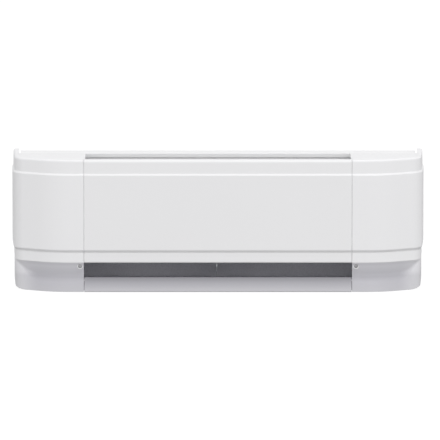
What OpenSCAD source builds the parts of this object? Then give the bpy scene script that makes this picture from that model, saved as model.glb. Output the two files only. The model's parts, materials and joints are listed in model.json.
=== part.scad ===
// Linear convector baseboard heater: a steel chassis that screws to the wall, a finned electric
// element, and a white cover (front panel with two moulded end caps) that swings up on hinge rods.
// Front faces -Y, the wall is +Y, +Z is up. Profiles are given as [depth behind the front, height].

/* [Envelope] */
// Length along the wall, mm
overall_length = 764; // [750:1:774]
// Depth from the wall to the front face, mm
overall_depth = 142; // [141:1:144]
// Length of the panel between the two end caps, mm
panel_length = 495; // [491:1:497]

/* [Sheet and moulding] */
// Wall thickness of the front panel and end caps, mm
skin = 2; // [1.8:0.1:2.1]
// Thickness of the chassis sheet steel, mm
sheet = 1.2; // [1:0.1:1.2]

/* [Element] */
// Number of aluminium fins on the heating tube
fin_count = 54; // [24:2:54]
// Outside radius of the sheathed heating tube, mm
tube_r = 4; // [3.5:0.1:4.5]

/* [Hidden] */
$fn = 48;

half_l = overall_length / 2;
y_front = -overall_depth / 2;
seam_x = panel_length / 2;
cap_x = seam_x + 0.2;
tongue_x = seam_x - 2.2;
panel_x = seam_x - 0.2;

// Hinge axis, and the radii of the rod and of the hook that wraps it
axis_d = 99;
axis_z = 241.7;
rod_r = 2.2;
hook_in = 2.28;
hook_out = 3.2;

// Heights of the outer shape
lip_z = 54.6;
band_z = 73.5;
face_lo = 80;
face_hi = 217.5;
top_band_z = 238.5;
top_z = 247;
round_r = 6;
ear_rise = 3;
foot_rise = 6;
foot_run = 28;
lip_in = 3.2;
kick_in = 3.7;

// Scoop below the lip
crease_z = 25.5;
crease_in = 20.1;
scoop_end = 5;
scoop_run = 38;
kick_top_z = 26;
kick_top_d = 19.5;

// Plan curve of an end cap
bow_r = 125;
bow_x = half_l - 110;
bow_a = 29;
slant = 32;
corner_r = 35;
side_a = 87.5;
cap_back_d = overall_depth - 0.8;
rim_w = 13;
top_edge_d = 95;

// Rail along the top of the back panel
flange_z = 246;
flange_d = 103.5;
flange_lip_z = 238;
weld_leg_z = 230;
chassis_x = 366;

// Heat shield and deflector in front of the back panel
shield_d = 126;
shield_t = 0.8;

// Element
tube_d = 80;
tube_z = 105;
tube_end = 256;
fin_pitch = 8;
fin_t = 0.5;
fin_w = 70;
fin_h = 60;
capillary_r = 1;
capillary_z = 146;
pin_r = 1.5;

// Ends of the chassis
bulk_x = 249;
box_x = bulk_x + sheet;
box_end = 350;
box_front = 62;
box_lo = 6;
box_hi = 160;
back_d = overall_depth - sheet;
foot_d = back_d - shield_t;
bushing_r = 7;
grommet_r = 2.6;
wire_r = 1.4;
wire_d = 133;
wire_z = 22;
wire_grommet_r = 5;
knockout_r = 11.05;
knockout_x = 325;
cable_z = 40;
cable_r = 6.5;

// Cover screws
screw_x = 255;
screw_z = 47.6;
cup_r = 5.5;
cup_front = 7.6;
cup_back = 15.4;
seat_d = 10.2;
shank_r = 2;
head_r = 3.2;
screw_tip = 24;
tab_d = 17;

// Wall fixing holes
stud_x = 203.2;
fix_lo = 60;
fix_hi = 175;
fix_r = 3.25;

white = [0.9, 0.9, 0.9];
steel = [0.72, 0.73, 0.75];
dark = [0.32, 0.32, 0.35];
alu = [0.8, 0.81, 0.83];
brass = [0.75, 0.6, 0.3];

// ---------- helpers ----------
// A 2D profile in [depth, height] run along X
module along_x(x0, x1)
  translate([x0, y_front, 0]) rotate([90, 0, 90]) linear_extrude(height = x1 - x0) children();

// A 2D shape in [X, height] run in depth
module along_y(d0, d1)
  translate([0, y_front + d1, 0]) rotate([90, 0, 0]) linear_extrude(height = d1 - d0) children();

// A round bar along X at a depth and height
module bar_x(x0, x1, d, z, r)
  translate([x0, y_front + d, z]) rotate([0, 90, 0]) cylinder(r = r, h = x1 - x0);

// A round bar in depth at an X and height
module bar_y(x, z, d0, d1, r)
  translate([x, y_front + d1, z]) rotate([90, 0, 0]) cylinder(r = r, h = d1 - d0);

module block(x0, x1, d0, d1, z0, z1)
  translate([x0, y_front + d0, z0]) cube([x1 - x0, d1 - d0, z1 - z0]);

function unit(v) = v / norm(v);
function turn(v) = [-v[1], v[0]];
function miter(p, i) =
  i == 0 ? turn(unit(p[1] - p[0]))
  : i == len(p) - 1 ? turn(unit(p[i] - p[i - 1]))
  : let (a = turn(unit(p[i] - p[i - 1])), b = turn(unit(p[i + 1] - p[i])), m = unit(a + b))
    m / (m * a);
// Outline of a bent sheet that follows the points p, thickness t to the left of travel
function bent(p, t) = concat(p, [for (i = [len(p) - 1:-1:0]) p[i] + t * miter(p, i)]);

function smooth(t) = let (c = max(0, min(1, t))) c * c * (3 - 2 * c);

// ---------- outer shape ----------
round_c = [2.3 + round_r, top_z - round_r];

// Main wall profile above the lip, inset k of the skin
function upper(k) = concat(
  [[lip_in + k, band_z], [2.8 + k, 75], [1.6 + k, 76.8], [0.4 + k, 78.6], [k, face_lo],
   [k, face_hi], [0.7 + k, 218.6], [1.6 + k, 220.2], [2 + k, 221.4], [2.3 + k, top_band_z]],
  [for (a = [0:15:90]) round_c + (round_r - k) * [-cos(a), sin(a)]]);

// Cap wall profile: the scoop, rounded at its crease, fades with t from 1 at the front to 0 at the side
function cap_wall(k, t, z0) =
  let (cz = lip_z - 1 - (lip_z - 1 - crease_z) * t, ci = kick_in + (crease_in - kick_in) * t,
    low = [kick_in, z0], fold = [ci, cz], high = [lip_in, lip_z + 1],
    a = fold + 0.35 * (low - fold), b = fold + 0.3 * (high - fold))
  concat(
    [for (p = concat([low, low + 0.35 * (fold - low)],
      [for (f = [0:0.25:1]) (1 - f) * (1 - f) * a + 2 * f * (1 - f) * fold + f * f * b],
      [high + 0.35 * (fold - high), high])) p + [k, 0]],
    upper(k));

// Plan stations: [x, depth, angle of the outward normal]
bow_steps = 9;
corner_steps = 9;
side_steps = 5;
bow_end = [bow_x + bow_r * sin(bow_a), bow_r * (1 - cos(bow_a))];
slant_end = bow_end + slant * [cos(bow_a), sin(bow_a)];
corner_c = slant_end + corner_r * [-sin(bow_a), cos(bow_a)];
corner_end = corner_c + corner_r * [sin(side_a), -cos(side_a)];
stations = concat(
  [[cap_x, 0, 0], [0.5 * (cap_x + bow_x), 0, 0]],
  [for (i = [0:bow_steps]) let (a = bow_a * i / bow_steps)
    [bow_x + bow_r * sin(a), bow_r * (1 - cos(a)), a]],
  [for (i = [1:2]) let (p = bow_end + slant * i / 3 * [cos(bow_a), sin(bow_a)]) [p[0], p[1], bow_a]],
  [for (i = [0:corner_steps]) let (a = bow_a + (side_a - bow_a) * i / corner_steps)
    [corner_c[0] + corner_r * sin(a), corner_c[1] - corner_r * cos(a), a]],
  [for (i = [1:side_steps]) let (f = i / side_steps)
    [corner_end[0] + (half_l - corner_end[0]) * f,
     corner_end[1] + (cap_back_d - corner_end[1]) * f, side_a]]);
n_st = len(stations);
corner_i = n_st - side_steps - 1;

function fade(x) = sin(90 * max(0, min(1, (half_l - x - scoop_end) / scoop_run)));
function ear(d) = ear_rise * smooth((d - axis_d) / (cap_back_d - axis_d));
// Lower edge of a cap: it lifts round the corner, and its rear follows the swing arc so that it
// clears the floor as the cover opens
function foot(x, d) = axis_z - sqrt(pow(axis_z - 0.6, 2) - pow(max(0, d - axis_d), 2))
  + foot_rise * pow(max(0, (x - half_l) / foot_run + 1), 2.5);

// End of the top skin for station i: along the rear edge, then along the side rim
function top_end(i, s) =
  i <= corner_i ? [s[2] <= bow_a ? s[0] : slant_end[0] + (half_l - rim_w - slant_end[0])
      * (s[2] - bow_a) / (side_a - bow_a), top_edge_d]
  : [half_l - rim_w, top_edge_d + (cap_back_d - top_edge_d) * (i - corner_i) / side_steps];

function cap_column(i, k, side) =
  let (s = stations[i], p = cap_wall(k, fade(s[0]), foot(s[0], s[1])), q = top_end(i, s), e = ear(s[1]))
  concat(
    [for (w = p) [side * (s[0] - w[0] * sin(s[2])),
      y_front + min(cap_back_d, s[1] + w[0] * cos(s[2])), w[1] + (w[1] > top_band_z ? e : 0)]],
    [[side * q[0], y_front + q[1], top_z - k + ear(q[1])]]);

module end_cap_shell(side) {
  cols = [for (k = [0, skin]) for (i = [0:n_st - 1]) cap_column(i, k, side)];
  n_v = len(cols[0]);
  last_u = n_st - 1;
  last_v = n_v - 1;
  // Point number on the outer (k = 0) or inner (k = 1) surface
  function id(k, i, j) = (k * n_st + i) * n_v + j;
  function quad(a, b, c, d) = [[a, b, c], [a, c, d]];
  faces = concat(
    [for (i = [0:last_u - 1]) for (j = [0:last_v - 1])
      each quad(id(0, i, j), id(0, i, j + 1), id(0, i + 1, j + 1), id(0, i + 1, j))],
    [for (i = [0:last_u - 1]) for (j = [0:last_v - 1])
      each quad(id(1, i, j), id(1, i + 1, j), id(1, i + 1, j + 1), id(1, i, j + 1))],
    [for (i = [0:last_u - 1]) each quad(id(0, i, 0), id(0, i + 1, 0), id(1, i + 1, 0), id(1, i, 0))],
    [for (i = [0:last_u - 1])
      each quad(id(0, i, last_v), id(1, i, last_v), id(1, i + 1, last_v), id(0, i + 1, last_v))],
    [for (j = [0:last_v - 1]) each quad(id(0, 0, j), id(1, 0, j), id(1, 0, j + 1), id(0, 0, j + 1))],
    [for (j = [0:last_v - 1])
      each quad(id(0, last_u, j), id(0, last_u, j + 1), id(1, last_u, j + 1), id(1, last_u, j))]);
  polyhedron(
    points = [for (c = cols) each c],
    faces = side > 0 ? faces : [for (f = faces) [f[2], f[1], f[0]]]);
}

// The top of a cap reaches a little past the seam, over the end of the outlet slot
module end_cap(side) color(white)
  difference() {
    union() {
      end_cap_shell(side);
      block(side > 0 ? tongue_x : -cap_x - 1, side > 0 ? cap_x + 1 : -tongue_x,
        15.5, top_edge_d, top_z - skin, top_z);
    }
    bar_y(side * screw_x, screw_z, 0, screw_tip, cup_r);
  }

module left_end_cap() end_cap(-1);
module right_end_cap() end_cap(1);

module front_panel() color(white)
  along_x(-panel_x, panel_x)
    polygon(concat(
      [[12, lip_z], [4.2, lip_z], [3.4, lip_z + 0.4], [lip_in, lip_z + 1.2]],
      upper(0),
      [[14, top_z], [14, 240], [14 - skin, 240], [14 - skin, top_z - skin]],
      [for (i = [len(upper(skin)) - 1:-1:0]) upper(skin)[i]],
      [[lip_in + skin, lip_z + skin], [12, lip_z + skin]]));

// ---------- chassis sheet metal ----------
module fixing_holes(r)
  for (x = [-stud_x, stud_x]) for (z = [fix_lo, fix_hi]) translate([x, z]) circle(r = r);

module knockout_holes() {
  for (x = [-knockout_x, knockout_x]) for (z = [cable_z, 120]) translate([x, z]) circle(r = knockout_r);
}

module back_panel() color(white)
  along_y(back_d, overall_depth) difference() {
    translate([-chassis_x, 4]) square([2 * chassis_x, flange_z - 4]);
    fixing_holes(fix_r);
    knockout_holes();
  }

// Flange, its front lip, and the leg that is welded to the back panel
module top_rail() color(white)
  along_x(-chassis_x, chassis_x)
    polygon(bent([[back_d, weld_leg_z], [back_d, flange_z], [flange_d, flange_z],
      [flange_d, flange_lip_z]], sheet));

module bottom_pan() color(white) {
  along_x(-panel_x + 0.3, panel_x - 0.3)
    polygon(bent([[back_d, 0], [kick_in, 0], [kick_top_d, kick_top_z], [24.5, kick_top_z], [24.5, 18]],
      -sheet));
  for (s = [-1, 1])
    linear_extrude(height = sheet)
      polygon([[s * (panel_x - 0.4), y_front + 27], [s * 271, y_front + 28], [s * 335, y_front + 44],
        [s * 356, y_front + 62], [s * 356, y_front + back_d], [s * (panel_x - 0.4), y_front + back_d]]);
}

module bulkhead(s) color(steel)
  difference() {
    along_x(s > 0 ? bulk_x : -box_x, s > 0 ? box_x : -bulk_x)
      polygon([[27, sheet], [27, 36], [tab_d + sheet, 38], [tab_d + sheet, 228], [27, 240],
        [flange_d - 3, 240], [flange_d - 3, 236], [back_d - sheet, 236], [back_d - sheet, 229],
        [back_d, 229], [back_d, sheet]]);
    bar_x(s * bulk_x - 3, s * bulk_x + 3, tube_d, tube_z, bushing_r);
    bar_x(s * bulk_x - 3, s * bulk_x + 3, tube_d, capillary_z, grommet_r);
    bar_x(s * bulk_x - 3, s * bulk_x + 3, wire_d, wire_z, wire_grommet_r);
  }

module left_bulkhead() bulkhead(-1);
module right_bulkhead() bulkhead(1);

module rear_heat_shield() color(dark)
  difference() {
    along_x(-248.6, 248.6)
      polygon(bent([[foot_d, 2], [foot_d, 5], [shield_d, 12], [shield_d, 188], [foot_d, 195],
        [foot_d, 204]], -shield_t));
    for (x = [-stud_x, stud_x]) for (z = [fix_lo, fix_hi]) bar_y(x, z, shield_d - 4, shield_d + 4, 8);
  }

module outlet_deflector() color(white)
  along_x(-248.7, 248.7)
    polygon(bent([[foot_d, 206], [foot_d, 213], [110, 227], [105.4, 232.5], [105.4, 238.6]], -shield_t));

module hinge_rods() color(steel)
  for (s = [-1, 1])
    along_x(s > 0 ? 256 : -350, s > 0 ? 350 : -256) {
      translate([axis_d, axis_z]) circle(r = rod_r);
      intersection() {
        translate([axis_d, axis_z]) rotate(-40) translate([1.5, -0.6]) square([8, 1.2]);
        translate([axis_d, 230]) square([flange_d - axis_d, 14]);
      }
    }

module screw_tabs() color(steel)
  for (s = [-1, 1])
    along_y(tab_d, tab_d + sheet) difference() {
      translate([s > 0 ? bulk_x : -264, 39]) square([15, 17]);
      translate([s * screw_x - 2.3, screw_z - 2.3]) square([4.6, 8.4]);
    }

module centre_support() color(steel)
  difference() {
    along_x(-2.8, -1.6)
      polygon([[8.4, 53.8], [8.4, 47], [30, 28], [36, sheet], [112, sheet], [112, 22], [shield_d - 1, 22],
        [shield_d - 1, 152], [62, 152], [40, 140], [40, 66], [24, 59], [13, 53.8]]);
    bar_x(-5, 0, tube_d, tube_z, 6);
    bar_x(-5, 0, tube_d, capillary_z, grommet_r);
  }

// ---------- element ----------
module heating_tube() color(steel) bar_x(-tube_end, tube_end, tube_d, tube_z, tube_r);

module fin_plate(x, t, grow)
  along_x(x - t / 2, x + t / 2) difference() {
    translate([tube_d - fin_w / 2 - grow, tube_z - fin_h / 2 - grow])
      square([fin_w + 2 * grow, fin_h + 2 * grow]);
    translate([tube_d, tube_z]) circle(r = tube_r);
  }

module element_fins() color(alu)
  for (i = [0:fin_count - 1]) fin_plate((i - (fin_count - 1) / 2) * fin_pitch, fin_t, 0);

module fin_end_plates() color(steel)
  for (s = [-1, 1]) fin_plate(s * (fin_count / 2 * fin_pitch + 3), 1, 1);

module terminal_pins() color(steel)
  for (s = [-1, 1]) bar_x(s > 0 ? tube_end : -270, s > 0 ? 270 : -tube_end, tube_d, tube_z, pin_r);

module ring_x(x0, x1, d, z, r_in, r_out)
  along_x(x0, x1) difference() {
    translate([d, z]) circle(r = r_out);
    translate([d, z]) circle(r = r_in);
  }

module terminal_insulators() color([0.93, 0.91, 0.86])
  for (s = [-1, 1]) ring_x(s > 0 ? tube_end : -262, s > 0 ? 262 : -tube_end, tube_d, tube_z, pin_r, 3.4);

module element_bushings() color([0.75, 0.3, 0.2]) {
  ring_x(-3.6, -0.8, tube_d, tube_z, tube_r, 6);
  for (s = [-1, 1]) {
    c = s * (bulk_x + sheet);
    ring_x(c - sheet, c + sheet, tube_d, tube_z, tube_r, bushing_r);
    ring_x(c - sheet - 2, c - sheet, tube_d, tube_z, tube_r, bushing_r + 2);
    ring_x(c + sheet, c + sheet + 2, tube_d, tube_z, tube_r, bushing_r + 2);
  }
}

// ---------- wires ----------
function bezier(p, t) =
  pow(1 - t, 3) * p[0] + 3 * t * pow(1 - t, 2) * p[1] + 3 * t * t * (1 - t) * p[2] + pow(t, 3) * p[3];
function curve(p, n) = [for (i = [0:n]) bezier(p, i / n)];
function at(x, d, z) = [x, y_front + d, z];
function heading(p, i) = unit(p[min(len(p) - 1, i + 1)] - p[max(0, i - 1)]);
wire_up = unit([0.11, 0.63, 0.41]);

// A round wire through the points of a path
module wire(path, r, sides) {
  n = len(path);
  rings = [for (i = [0:n - 1])
    let (t = heading(path, i), u = unit(cross(t, wire_up)), v = cross(t, u))
    for (k = [0:sides - 1]) path[i] + r * (cos(360 * k / sides) * u + sin(360 * k / sides) * v)];
  sleeve = [for (i = [0:n - 2]) for (k = [0:sides - 1])
    let (a = i * sides + k, b = i * sides + (k + 1) % sides)
    each [[a, a + sides, b + sides], [a, b + sides, b]]];
  ends = concat(
    [for (k = [1:sides - 2]) [0, k, k + 1]],
    [for (k = [1:sides - 2]) [(n - 1) * sides, (n - 1) * sides + k + 1, (n - 1) * sides + k]]);
  polyhedron(points = rings, faces = concat(sleeve, ends));
}

module limit_capillary() color([0.72, 0.45, 0.3])
  wire(concat([at(252, tube_d, capillary_z), at(0, tube_d, capillary_z)],
    curve([at(-264, tube_d, capillary_z), at(-292, tube_d, capillary_z), at(-296, 110, 128),
      at(-296, 110, 82.1)], 14)), capillary_r, 10);

module capillary_grommets() color([0.2, 0.2, 0.2]) {
  ring_x(-4, -0.6, tube_d, capillary_z, capillary_r, grommet_r);
  for (s = [-1, 1]) {
    c = s * (bulk_x + sheet);
    ring_x(c - 2.2, c + 2.2, tube_d, capillary_z, capillary_r, grommet_r);
  }
}

module limit_switch() color([0.16, 0.15, 0.15]) {
  block(-312, -280, 96, 124, 58, 76);
  block(-312, -280, 124, 139.6, 58, 60);
  bar_z(-296, 110, 76, 82, 6);
}

module bar_z(x, d, z0, z1, r) translate([x, y_front + d, z0]) cylinder(r = r, h = z1 - z0);

module switch_terminals() color(brass) {
  block(-308, -302, 87, 96, 66.6, 67.4);
  block(-290, -284, 87, 96, 66.6, 67.4);
}

module element_lead() color([0.9, 0.88, 0.84])
  wire(curve([at(-270.7, tube_d, tube_z), at(-286, tube_d - 2, tube_z - 4), at(-287, 70, 67),
    at(-287, 86.5, 67)], 16), wire_r, 10);

module black_wire() color([0.08, 0.08, 0.08])
  wire(curve([at(-305, 86.5, 67), at(-305, 72, 67), at(-334, 84, 70), at(-334, 84, 48)], 18), wire_r, 10);

module red_wire() color([0.7, 0.1, 0.08])
  wire(concat(
    curve([at(270.7, tube_d, tube_z), at(300, tube_d, tube_z), at(306, wire_d, wire_z + 4),
      at(262, wire_d, wire_z)], 18),
    curve([at(-262, wire_d, wire_z), at(-300, wire_d, wire_z), at(-316, 84, 78), at(-316, 84, 48)], 18)),
    wire_r, 10);

module ground_wire() color([0.15, 0.5, 0.2])
  wire(curve([at(-337.5, 137.6, 94.5), at(-337.5, 120, 94.5), at(-341, 110, 60), at(-342, 90, 30)], 16),
    1.2, 10);

module wire_connectors() color([0.85, 0.4, 0.1])
  for (x = [-334, -316])
    translate([x, y_front + 84, 30]) difference() {
      cylinder(r1 = 3.6, r2 = 6, h = 20);
      translate([0, 0, 18]) cylinder(r = wire_r + 2.6, h = 3);
      translate([0, 0, 12]) cylinder(r = wire_r + 0.2, h = 7);
    }

module wire_grommets() color([0.2, 0.2, 0.2])
  for (s = [-1, 1]) {
    c = s * (bulk_x + sheet);
    ring_x(c - sheet, c + sheet, wire_d, wire_z, wire_r + 0.05, wire_grommet_r);
    ring_x(c + sheet, c + sheet + 1.5, wire_d, wire_z, wire_r + 0.4, wire_grommet_r + 1);
  }

module crimp_sleeves() color(alu)
  for (s = [-1, 1]) ring_x(s > 0 ? 264 : -270, s > 0 ? 270 : -264, tube_d, tube_z, pin_r, 2.6);

// ---------- junction boxes ----------
module junction_box(s) color(steel)
  difference() {
    union() {
      difference() {
        block(s > 0 ? box_x : -box_end, s > 0 ? box_end : -box_x, box_front, back_d, box_lo, box_hi);
        block((s > 0 ? box_x : -box_end) + sheet, (s > 0 ? box_end : -box_x) - sheet,
          box_front - 1, back_d - sheet, box_lo + sheet, box_hi - sheet);
      }
      for (q = [[box_x + sheet, box_lo + sheet], [box_end - sheet - 9, box_hi - sheet - 9]])
        block(s > 0 ? q[0] : -q[0] - 9, s > 0 ? q[0] + 9 : -q[0], box_front, box_front + 9, q[1], q[1] + 9);
    }
    bar_x(s * box_x - 2, s * box_x + 2, tube_d, tube_z, bushing_r);
    bar_x(s * box_x - 2, s * box_x + 2, tube_d, capillary_z, grommet_r);
    bar_x(s * box_x - 2, s * box_x + 2, wire_d, wire_z, wire_grommet_r);
    for (z = [cable_z, 120]) bar_y(s * knockout_x, z, back_d - 3, back_d + 1, knockout_r);
    for (q = box_screws) bar_y(s * q[0], q[1], box_front - 1, box_front + 10, 1.6);
  }

box_screws = [[box_x + sheet + 4.5, box_lo + sheet + 4.5], [box_end - sheet - 4.5, box_hi - sheet - 4.5]];

module left_junction_box() junction_box(-1);
module right_junction_box() junction_box(1);

module box_cover(s) color(steel)
  along_y(box_front - sheet, box_front) difference() {
    translate([s > 0 ? box_x + 0.3 : -box_end, box_lo]) square([box_end - box_x - 0.3, box_hi - box_lo]);
    for (q = box_screws) translate([s * q[0], q[1]]) circle(r = 1.6);
  }

module left_box_cover() box_cover(-1);
module right_box_cover() box_cover(1);

module box_cover_screws() color(steel)
  for (s = [-1, 1]) for (q = box_screws)
    difference() {
      union() {
        bar_y(s * q[0], q[1], box_front - sheet - 2, box_front - sheet, 3.2);
        bar_y(s * q[0], q[1], box_front - sheet - 0.1, box_front + 8, 1.6);
      }
      block(s * q[0] - 2.4, s * q[0] + 2.4, box_front - sheet - 3, box_front - sheet - 1, q[1] - 0.4, q[1] + 0.4);
    }

module ground_screw() color([0.2, 0.5, 0.25])
  difference() {
    bar_y(-337.5, 100, 136.4, back_d - sheet, 4);
    block(-341, -334, 136, 137.2, 99.6, 100.4);
  }

module cable_clamp() color(alu)
  difference() {
    union() {
      bar_y(-knockout_x, cable_z, 128, back_d - sheet - 3, 9.5);
      bar_y(-knockout_x, cable_z, back_d - sheet - 3, back_d - sheet, 14);
      bar_y(-knockout_x, cable_z, back_d - sheet, overall_depth, knockout_r);
    }
    bar_y(-knockout_x, cable_z, 120, overall_depth + 1, cable_r);
  }

module knockout_discs() color(steel)
  for (q = [[knockout_x, cable_z], [knockout_x, 120], [-knockout_x, 120]])
    bar_y(q[0], q[1], back_d - sheet, overall_depth, knockout_r);

module shield_rivets() color(steel)
  for (x = [-220:110:220]) bar_y(x, 200, foot_d - 1, foot_d, 2.5);

// ---------- cover, inner pieces ----------
module front_heat_shield() color(steel)
  along_x(-234, 234) polygon(bent([[18, 60], [14, 64], [14, 226], [18, 232]], -0.8));

module shield_standoffs() color(steel)
  for (x = [-180, 0, 180]) for (z = [95, 205]) bar_y(x, z, skin, 14, 3);

module joining_strip(s) color(steel)
  block(s > 0 ? 236 : -262, s > 0 ? 262 : -236, skin, skin + sheet, 84, 214);

module left_joining_strip() joining_strip(-1);
module right_joining_strip() joining_strip(1);

module joining_rivets() color(steel)
  for (s = [-1, 1]) for (x = [241, 256]) for (z = [95, 150, 205])
    bar_y(s * x, z, skin + sheet, skin + sheet + 0.8, 2.5);

module hinge_hooks() color(steel)
  for (s = [-1, 1])
    along_x(s > 0 ? 258 : -348, s > 0 ? 348 : -258) {
      difference() {
        translate([axis_d, axis_z]) circle(r = hook_out);
        translate([axis_d, axis_z]) circle(r = hook_in);
        translate([axis_d, axis_z]) polygon([[0, 0], 9 * [cos(-72), sin(-72)], [9, -9], [9, 9],
          9 * [cos(60), sin(60)]]);
      }
      polygon([[76, top_z - skin - sheet], [axis_d - 1.5, top_z - skin - sheet],
        [axis_d - 1.5, top_z - skin - 0.4], [top_edge_d - 0.5, top_z - skin], [76, top_z - skin]]);
    }

module screw_cups() color(white)
  for (s = [-1, 1])
    difference() {
      bar_y(s * screw_x, screw_z, cup_front, cup_back, cup_r);
      bar_y(s * screw_x, screw_z, cup_front - 1, seat_d, head_r + 0.3);
      bar_y(s * screw_x, screw_z, cup_front - 1, cup_back + 1, shank_r + 0.05);
    }

module cover_screw(s) color(steel)
  difference() {
    union() {
      bar_y(s * screw_x, screw_z, seat_d - 2.2, seat_d, head_r);
      bar_y(s * screw_x, screw_z, seat_d - 0.5, screw_tip, shank_r);
    }
    block(s * screw_x - 2, s * screw_x + 2, seat_d - 3, seat_d - 1, screw_z - 0.4, screw_z + 0.4);
    block(s * screw_x - 0.4, s * screw_x + 0.4, seat_d - 3, seat_d - 1, screw_z - 2, screw_z + 2);
  }

module left_cover_screw() cover_screw(-1);
module right_cover_screw() cover_screw(1);

back_panel();
top_rail();
bottom_pan();
left_bulkhead();
right_bulkhead();
rear_heat_shield();
outlet_deflector();
hinge_rods();
screw_tabs();
centre_support();
heating_tube();
element_fins();
fin_end_plates();
terminal_pins();
terminal_insulators();
element_bushings();
limit_capillary();
capillary_grommets();
limit_switch();
switch_terminals();
left_junction_box();
right_junction_box();
left_box_cover();
right_box_cover();
box_cover_screws();
element_lead();
black_wire();
red_wire();
ground_wire();
wire_connectors();
wire_grommets();
crimp_sleeves();
ground_screw();
cable_clamp();
knockout_discs();
shield_rivets();
front_panel();
left_end_cap();
right_end_cap();
front_heat_shield();
shield_standoffs();
left_joining_strip();
right_joining_strip();
joining_rivets();
hinge_hooks();
screw_cups();
left_cover_screw();
right_cover_screw();
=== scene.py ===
import json
import math

import bmesh
import bpy
import numpy as np
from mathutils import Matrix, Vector


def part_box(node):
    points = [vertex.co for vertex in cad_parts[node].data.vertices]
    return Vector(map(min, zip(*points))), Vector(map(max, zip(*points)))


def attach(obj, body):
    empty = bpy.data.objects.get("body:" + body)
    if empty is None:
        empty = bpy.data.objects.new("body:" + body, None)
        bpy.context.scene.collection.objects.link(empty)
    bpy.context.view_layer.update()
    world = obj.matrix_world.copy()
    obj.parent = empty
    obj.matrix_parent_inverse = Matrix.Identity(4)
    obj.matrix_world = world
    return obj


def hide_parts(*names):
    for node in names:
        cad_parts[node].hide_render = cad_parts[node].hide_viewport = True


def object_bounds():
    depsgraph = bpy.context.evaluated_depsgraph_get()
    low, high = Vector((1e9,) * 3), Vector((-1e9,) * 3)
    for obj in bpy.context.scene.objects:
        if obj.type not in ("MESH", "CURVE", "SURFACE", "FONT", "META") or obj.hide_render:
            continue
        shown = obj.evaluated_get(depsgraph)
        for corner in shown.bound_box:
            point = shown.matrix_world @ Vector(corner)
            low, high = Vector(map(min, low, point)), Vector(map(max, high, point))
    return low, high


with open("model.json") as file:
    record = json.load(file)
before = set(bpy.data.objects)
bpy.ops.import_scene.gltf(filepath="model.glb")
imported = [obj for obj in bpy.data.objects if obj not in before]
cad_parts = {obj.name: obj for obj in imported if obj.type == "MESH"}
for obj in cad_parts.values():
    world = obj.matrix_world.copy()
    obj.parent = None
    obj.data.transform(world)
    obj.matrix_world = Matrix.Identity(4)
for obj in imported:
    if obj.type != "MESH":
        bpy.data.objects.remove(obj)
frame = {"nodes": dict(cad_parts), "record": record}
CAD_LO, CAD_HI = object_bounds()
MM = 0.001
SCN = bpy.context.scene

# ---------- sizes, in mm, in the row frame; a depth (_D) runs back from the front ----------
HALF_L = CAD_HI.x / MM
Y_FRONT = CAD_LO.y / MM
DEPTH = (CAD_HI.y - CAD_LO.y) / MM
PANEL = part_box("front_panel")
PANEL_X = PANEL[1].x / MM
TOP_Z = PANEL[1].z / MM
LIP_Z = PANEL[0].z / MM
CHASSIS_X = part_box("back_panel")[1].x / MM
SKIN, SHEET, SHIELD_T = 2.0, 1.2, 0.8  # thickness of the cover, the chassis and the shields
BACK_D = DEPTH - SHEET  # front face of the back panel
FLANGE_D = 139.99  # path of a shield flange that lies on the back panel
CAP_BACK = DEPTH - 0.8  # rear edge of the caps
AXIS_D, AXIS_Z = 99.0, 241.7  # the hinge line of the cover

# section of the cover: how far each line sits in from the front
LIP_IN, KICK_IN = 3.2, 3.7
CREASE_Z, CREASE_IN, CREASE_R = 25.5, 20.1, 16.0
TOP_EDGE_D = 95.0
EAR_RISE, RIM_W = 3.0, 13.0  # the caps' rear corners: how far they lift, and their rim's width

# joint between panel and caps
CAP_X = PANEL_X + 0.4  # inner end of the caps' wall
TONGUE_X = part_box("right_end_cap")[0].x / MM
TONGUE_LAP, TONGUE_DROP = 0.9, 0.02

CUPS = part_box("screw_cups")
CUP_R = 5.5
SCREW_X, SCREW_Z = CUPS[1].x / MM - CUP_R, (CUPS[0].z + CUPS[1].z) / 2 / MM

# round holes in the back panel and rear shield, as (x, z)
FIXINGS = [(x, z) for x in (-203.2, 203.2) for z in (60, 175)]
KNOCKOUTS = [(x, z) for x in (-325, 325) for z in (40, 120)]
FIXING_R, DRIVER_R, KNOCKOUT_R = 3.25, 8, 11.05


# ---------- mesh helpers ----------
def make_object(name, verts, faces, mat, smooth_deg=35.0):
    """A mesh object from points in mm and faces, smooth shaded with sharp edges by angle."""
    me = bpy.data.meshes.new(name)
    me.from_pydata([Vector(v) * MM for v in verts], [], faces)
    me.validate(clean_customdata=False)
    bm = bmesh.new()
    bm.from_mesh(me)
    bmesh.ops.remove_doubles(bm, verts=bm.verts, dist=2e-6)
    bmesh.ops.dissolve_degenerate(bm, edges=bm.edges, dist=2e-6)
    bmesh.ops.recalc_face_normals(bm, faces=bm.faces)
    bm.to_mesh(me)
    bm.free()
    shade(me, smooth_deg)
    ob = bpy.data.objects.new(name, me)
    SCN.collection.objects.link(ob)
    me.materials.append(mat)
    return ob


def shade(me, deg):
    me.polygons.foreach_set("use_smooth", [True] * len(me.polygons))
    me.set_sharp_from_angle(angle=math.radians(deg))
    me.update()


def weighted(ob):
    m = ob.modifiers.new("flat", "WEIGHTED_NORMAL")
    m.keep_sharp = True
    m.weight = 80
    return ob


def finish_piece(ob, nodes, body):
    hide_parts(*nodes)
    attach(ob, body)
    return ob


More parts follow.
